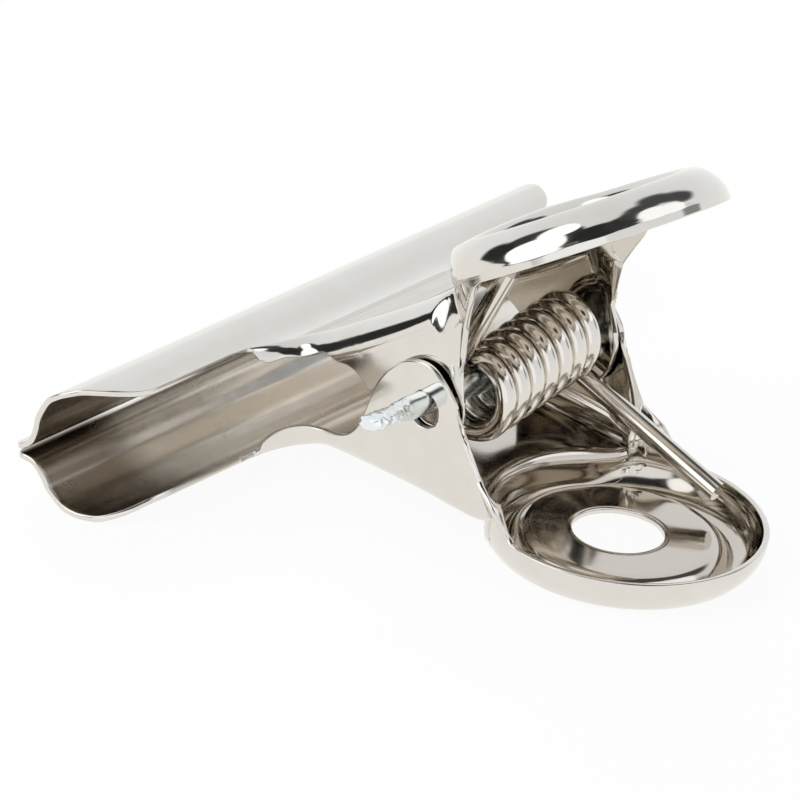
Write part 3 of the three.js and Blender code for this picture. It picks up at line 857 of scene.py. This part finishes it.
def tube(path, radius, sides):
    """A round section carried along a path, square to it, with flat fans over the two ends."""
    along = np.gradient(path, axis=0)
    along /= np.linalg.norm(along, axis=1)[:, None]
    across = np.array([1.0, 0, 0]) - along * along[:, :1]
    across /= np.linalg.norm(across, axis=1)[:, None]
    square = np.cross(along, across)
    turn = np.linspace(0, 2 * np.pi, sides + 1)[None, :-1, None]
    ring = across[:, None] * np.cos(turn) + square[:, None] * np.sin(turn)
    points = path[:, None] + radius * ring
    points = np.concatenate([points.reshape(-1, 3), path[:1], path[-1:]])
    faces = [grid_faces(len(path), sides, True)]
    return points, faces + end_fans(len(path), sides)


points, faces = tube(wire_path(), wire_radius, wire_sides)
spring = mesh_object("spring", to_row_frame(points, "upper"), faces)
outward(spring)
shaded(spring, sharp_degrees=40)
spring.data.materials.append(
    plated("spring_nickel", (0.78, 0.74, 0.68), rough=0.1, wave_depth=0.00002))
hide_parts("torsion_spring")
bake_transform(spring)

# Pin: a soft steel wire, zinc plated, pushed through the ears and the coil. Its far end is peened
# over, and its near end is squeezed flat so that it can't slip out.
pin_radius = 1.2
pin_sides = 48
pin_facets = 7
facet_inset = 0.93
tooth_pitch = 1.25
tooth_depth = 0.05
crimp_widening, crimp_thinning = 0.28, 0.36
pin_slant = np.radians(3.0)
pin_tip = -21.8
pin_head = 13.75
crimp_from = -14.9


def pin_rings():
    """Round wire along X that becomes a flat bar with tool facets where it is squeezed.

    Radius over angle is the circle's, blended into a seven-sided outline that shifts from one
    tooth mark to the next; the bar is then widened in y and thinned in z. Factors on the radius
    along the wire bevel the tip and spread the head.
    """
    crimp = np.linspace(pin_tip + 0.8, crimp_from, 46)
    x = np.concatenate([
        [pin_tip, pin_tip + 0.05, pin_tip + 0.2, pin_tip + 0.45], crimp,
        np.linspace(crimp_from + 0.5, pin_head - 0.05, 12),
        [pin_head, pin_head + 0.05, pin_head + 0.3, pin_head + 0.8, pin_head + 1.1, pin_head + 1.2],
    ])
    squeeze = smoothstep(-x, -crimp_from + 0.6, -crimp_from + 3.2)
    tip = np.interp(x, [pin_tip, pin_tip + 0.45], [0.55, 1.0])
    head = np.interp(x - pin_head, [-0.05, 0, 0.3, 0.8, 1.2], [1.0, 1.7, 1.9, 1.7, 0.8])
    tooth = np.floor((x - pin_tip) / tooth_pitch)
    turn = np.linspace(0, 2 * np.pi, pin_sides + 1)[:-1]
    shift = 0.7 * np.sin(5.1 * tooth)[:, None] + 0.25 * (x - pin_tip)[:, None]
    to_corner = (turn + shift) % (2 * np.pi / pin_facets) - np.pi / pin_facets
    facet = facet_inset / np.cos(to_corner)
    ridge = 1 + tooth_depth * np.cos((x - pin_tip) / tooth_pitch * 2 * np.pi)[:, None]
    radius = pin_radius * (1 + squeeze[:, None] * (facet * ridge - 1)) * (tip * head)[:, None]
    y = radius * (1 + crimp_widening * squeeze[:, None]) * np.cos(turn)
    z = radius * (1 - crimp_thinning * squeeze[:, None]) * np.sin(turn)
    return np.stack([np.broadcast_to(x[:, None], y.shape), y, z], axis=-1)


rings = pin_rings()
points = np.concatenate([rings.reshape(-1, 3), rings[0].mean(0)[None], rings[-1].mean(0)[None]])
slanted = points.copy()
slanted[:, 0] = points[:, 0] * np.cos(pin_slant) + points[:, 2] * np.sin(pin_slant)
slanted[:, 2] = -points[:, 0] * np.sin(pin_slant) + points[:, 2] * np.cos(pin_slant)
faces = [grid_faces(len(rings), pin_sides, True)] + end_fans(len(rings), pin_sides)
pin = mesh_object("pin", to_row_frame(slanted, "upper"), faces)
outward(pin)
shaded(pin, sharp_degrees=28)
pin.data.materials.append(
    plated("blue_zinc", (0.88, 0.93, 0.95), rough=0.22, wave_depth=0.00008))
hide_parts("pivot_pin")
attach(pin, "pin")
